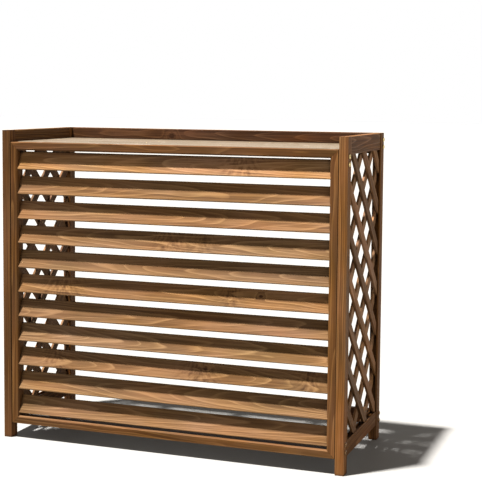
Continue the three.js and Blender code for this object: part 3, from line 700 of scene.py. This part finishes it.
pin_metal = plated("pin_zinc")
for side, outward in (("left", -1), ("right", 1)):
    pin_heads(f"{side}_lattice_pins", crossings(side, outward), (-outward, 0, 0), pin_metal, "screw_metal")

plank_pins = []
for number in range(1, 5):
    low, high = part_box(f"shelf_plank_{number}")
    for batten in range(1, 5):
        batten_low, batten_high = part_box(f"shelf_batten_{batten}")
        for share in PIN_SHARES:
            y = low.y + share * (high.y - low.y)
            plank_pins.append(((batten_low.x + batten_high.x) / 2, y, high.z))
pin_heads("shelf_pins", plank_pins, (0, 0, 1), pin_metal, "screw_metal")


# Floor, light and camera. A plain floor under a strong sun and white surroundings. The camera stands to the
# right of the screen, a little above its rim, where the picture was taken.

FLOOR_REACH = 40.0
FLOOR_GREY = (0.125, 0.124, 0.122, 1.0)  # the sun brings it up to white
floor_mesh = bpy.data.meshes.new("floor")
floor_corners = [(x * FLOOR_REACH, y * FLOOR_REACH, 0.0) for x, y in ((-1, -1), (1, -1), (1, 1), (-1, 1))]
floor_mesh.from_pydata(floor_corners, [], [(0, 1, 2, 3)])
floor = bpy.data.objects.new("floor", floor_mesh)
bpy.context.scene.collection.objects.link(floor)
floor_paint = bpy.data.materials.new("floor_paint")
floor_paint.use_nodes = True
floor_surface = floor_paint.node_tree.nodes["Principled BSDF"]
floor_surface.inputs["Base Color"].default_value = FLOOR_GREY
floor_surface.inputs["Roughness"].default_value = 0.7
floor_mesh.materials.append(floor_paint)

# White surroundings up to a low height, and dimmer and warmer ones overhead. Heights are sines of the angle
# above level.
SKY_WHITE, SKY_OVERHEAD = (1.0, 1.0, 1.0, 1.0), (0.32, 0.285, 0.24, 1.0)
DIM_FROM, DIM_TO = 0.15, 0.6
world = bpy.data.worlds.new("studio")
world.use_nodes = True
sky = world.node_tree
height = node(sky, "ShaderNodeSeparateXYZ", {"Vector": node(sky, "ShaderNodeTexCoord").outputs["Generated"]})
overhead = step_between(sky, height.outputs["Z"], DIM_FROM, DIM_TO)
dimmed = mix(sky, overhead, SKY_WHITE, SKY_OVERHEAD)
sky.links.new(dimmed, sky.nodes["Background"].inputs["Color"])
sky.nodes["Background"].inputs["Strength"].default_value = 1.0
bpy.context.scene.world = world
bpy.context.scene.view_settings.view_transform = "Standard"

# The sun stands high on the left, a little in front, and is narrow, so that each slat throws a clear shadow
KEY_FROM = (-0.2, -0.195, 1.0)
key = bpy.data.lights.new("key", "SUN")
key.energy = 26.0
key.angle = math.radians(3.0)
key.color = (1.0, 0.97, 0.92)
key_light = bpy.data.objects.new("key", key)
key_light.rotation_euler = Vector(KEY_FROM).to_track_quat("Z", "Y").to_euler()
bpy.context.scene.collection.objects.link(key_light)

# A weak, wide and warm light from low on the right opens the shaded sides
FILL_FROM = (1.0, -0.35, 0.25)
fill = bpy.data.lights.new("fill", "SUN")
fill.energy = 1.3
fill.angle = math.radians(70.0)
fill.color = (1.0, 0.86, 0.70)
fill_light = bpy.data.objects.new("fill", fill)
fill_light.rotation_euler = Vector(FILL_FROM).to_track_quat("Z", "Y").to_euler()
bpy.context.scene.collection.objects.link(fill_light)

# Where the camera stood, in metres, and how it was turned, in degrees
CAMERA_SPOT = (1.3252, -3.2390, 1.0062)
CAMERA_HEADING = 19.99  # to the left of straight back
CAMERA_FALL = 4.50  # below the horizon
CAMERA_ROLL = 0.45
FOCAL_PIXELS = 1208.1
LONG_SIDE = 485.0  # of the picture, in pixels
SENSOR = 36.0  # millimetres
CENTRE_ABOVE_MIDDLE = 52.5  # pixels from the picture's middle up to the lens axis

heading, fall, roll = (math.radians(a) for a in (CAMERA_HEADING, CAMERA_FALL, CAMERA_ROLL))
ahead = Vector((-math.sin(heading) * math.cos(fall), math.cos(heading) * math.cos(fall), -math.sin(fall)))
level = Vector((math.cos(heading), math.sin(heading), 0.0))
upright = level.cross(ahead)
right = math.cos(roll) * level + math.sin(roll) * upright
above = math.cos(roll) * upright - math.sin(roll) * level
lens = bpy.data.cameras.new("camera")
lens.sensor_width = SENSOR
lens.lens = FOCAL_PIXELS / LONG_SIDE * SENSOR
lens.shift_y = -CENTRE_ABOVE_MIDDLE / LONG_SIDE
camera = bpy.data.objects.new("camera", lens)
camera.matrix_world = Matrix.Translation(CAMERA_SPOT) @ Matrix((right, above, -ahead)).transposed().to_4x4()
bpy.context.scene.collection.objects.link(camera)
bpy.context.scene.camera = camera
